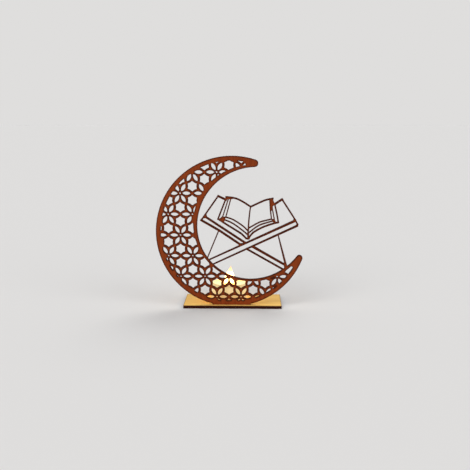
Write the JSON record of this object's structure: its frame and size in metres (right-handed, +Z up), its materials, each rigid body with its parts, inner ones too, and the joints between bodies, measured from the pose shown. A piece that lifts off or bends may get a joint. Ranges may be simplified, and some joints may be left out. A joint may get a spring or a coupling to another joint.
{
  "type": "night light",
  "caption": "Crescent of wooden fretwork with an open book on a folding stand, standing in a flat base board with a battery candle behind it.",
  "frame": {"origin": "middle of the base board's underside, on the surface that the light stands on", "axes": "+Z up, -Y towards the viewer of the panel's front, +X to that viewer's right"},
  "size_m": [0.1452, 0.05, 0.1514],
  "materials": {
    "board": "bare laser-cut plywood, dark on its cut edges",
    "panel": "stained laser-cut plywood, charred on its cut edges",
    "candle_shell": "ivory moulded plastic",
    "flame": "translucent frosted plastic",
    "lamp": "clear amber resin",
    "wire": "tinned wire",
    "tray": "ivory moulded plastic",
    "cell": "satin steel",
    "contact": "spring brass",
    "cover": "ivory moulded plastic",
    "switch": "black moulded plastic"
  },
  "bodies": {
    "stand": {"base_board": "board", "fretted_panel": "panel"},
    "candle": {"candle_cup": "candle_shell", "flame_tip": "flame", "led_lamp": "lamp", "led_leg_positive": "wire", "led_leg_negative": "wire", "under_tray": "tray", "coin_cell": "cell", "contact_positive": "contact"},
    "cover": {"battery_cover": "cover"},
    "switch": {"switch_slider": "switch", "switch_wiper": "contact"}
  },
  "joints": [
    {"name": "candle_lift", "type": "slide", "parent": "stand", "child": "candle", "axis": [0, 0, 1], "range_m": [0, 0.06]},
    {"name": "cover_turn", "type": "hinge", "parent": "candle", "child": "cover", "pos_m": [-0.0068, 0.004, 0.0036], "axis": [0, 0, 1], "range_deg": [0, 25]},
    {"name": "switch_slide", "type": "slide", "parent": "candle", "child": "switch", "axis": [0, 1, 0], "range_m": [-0.0025, 0]}
  ]
}
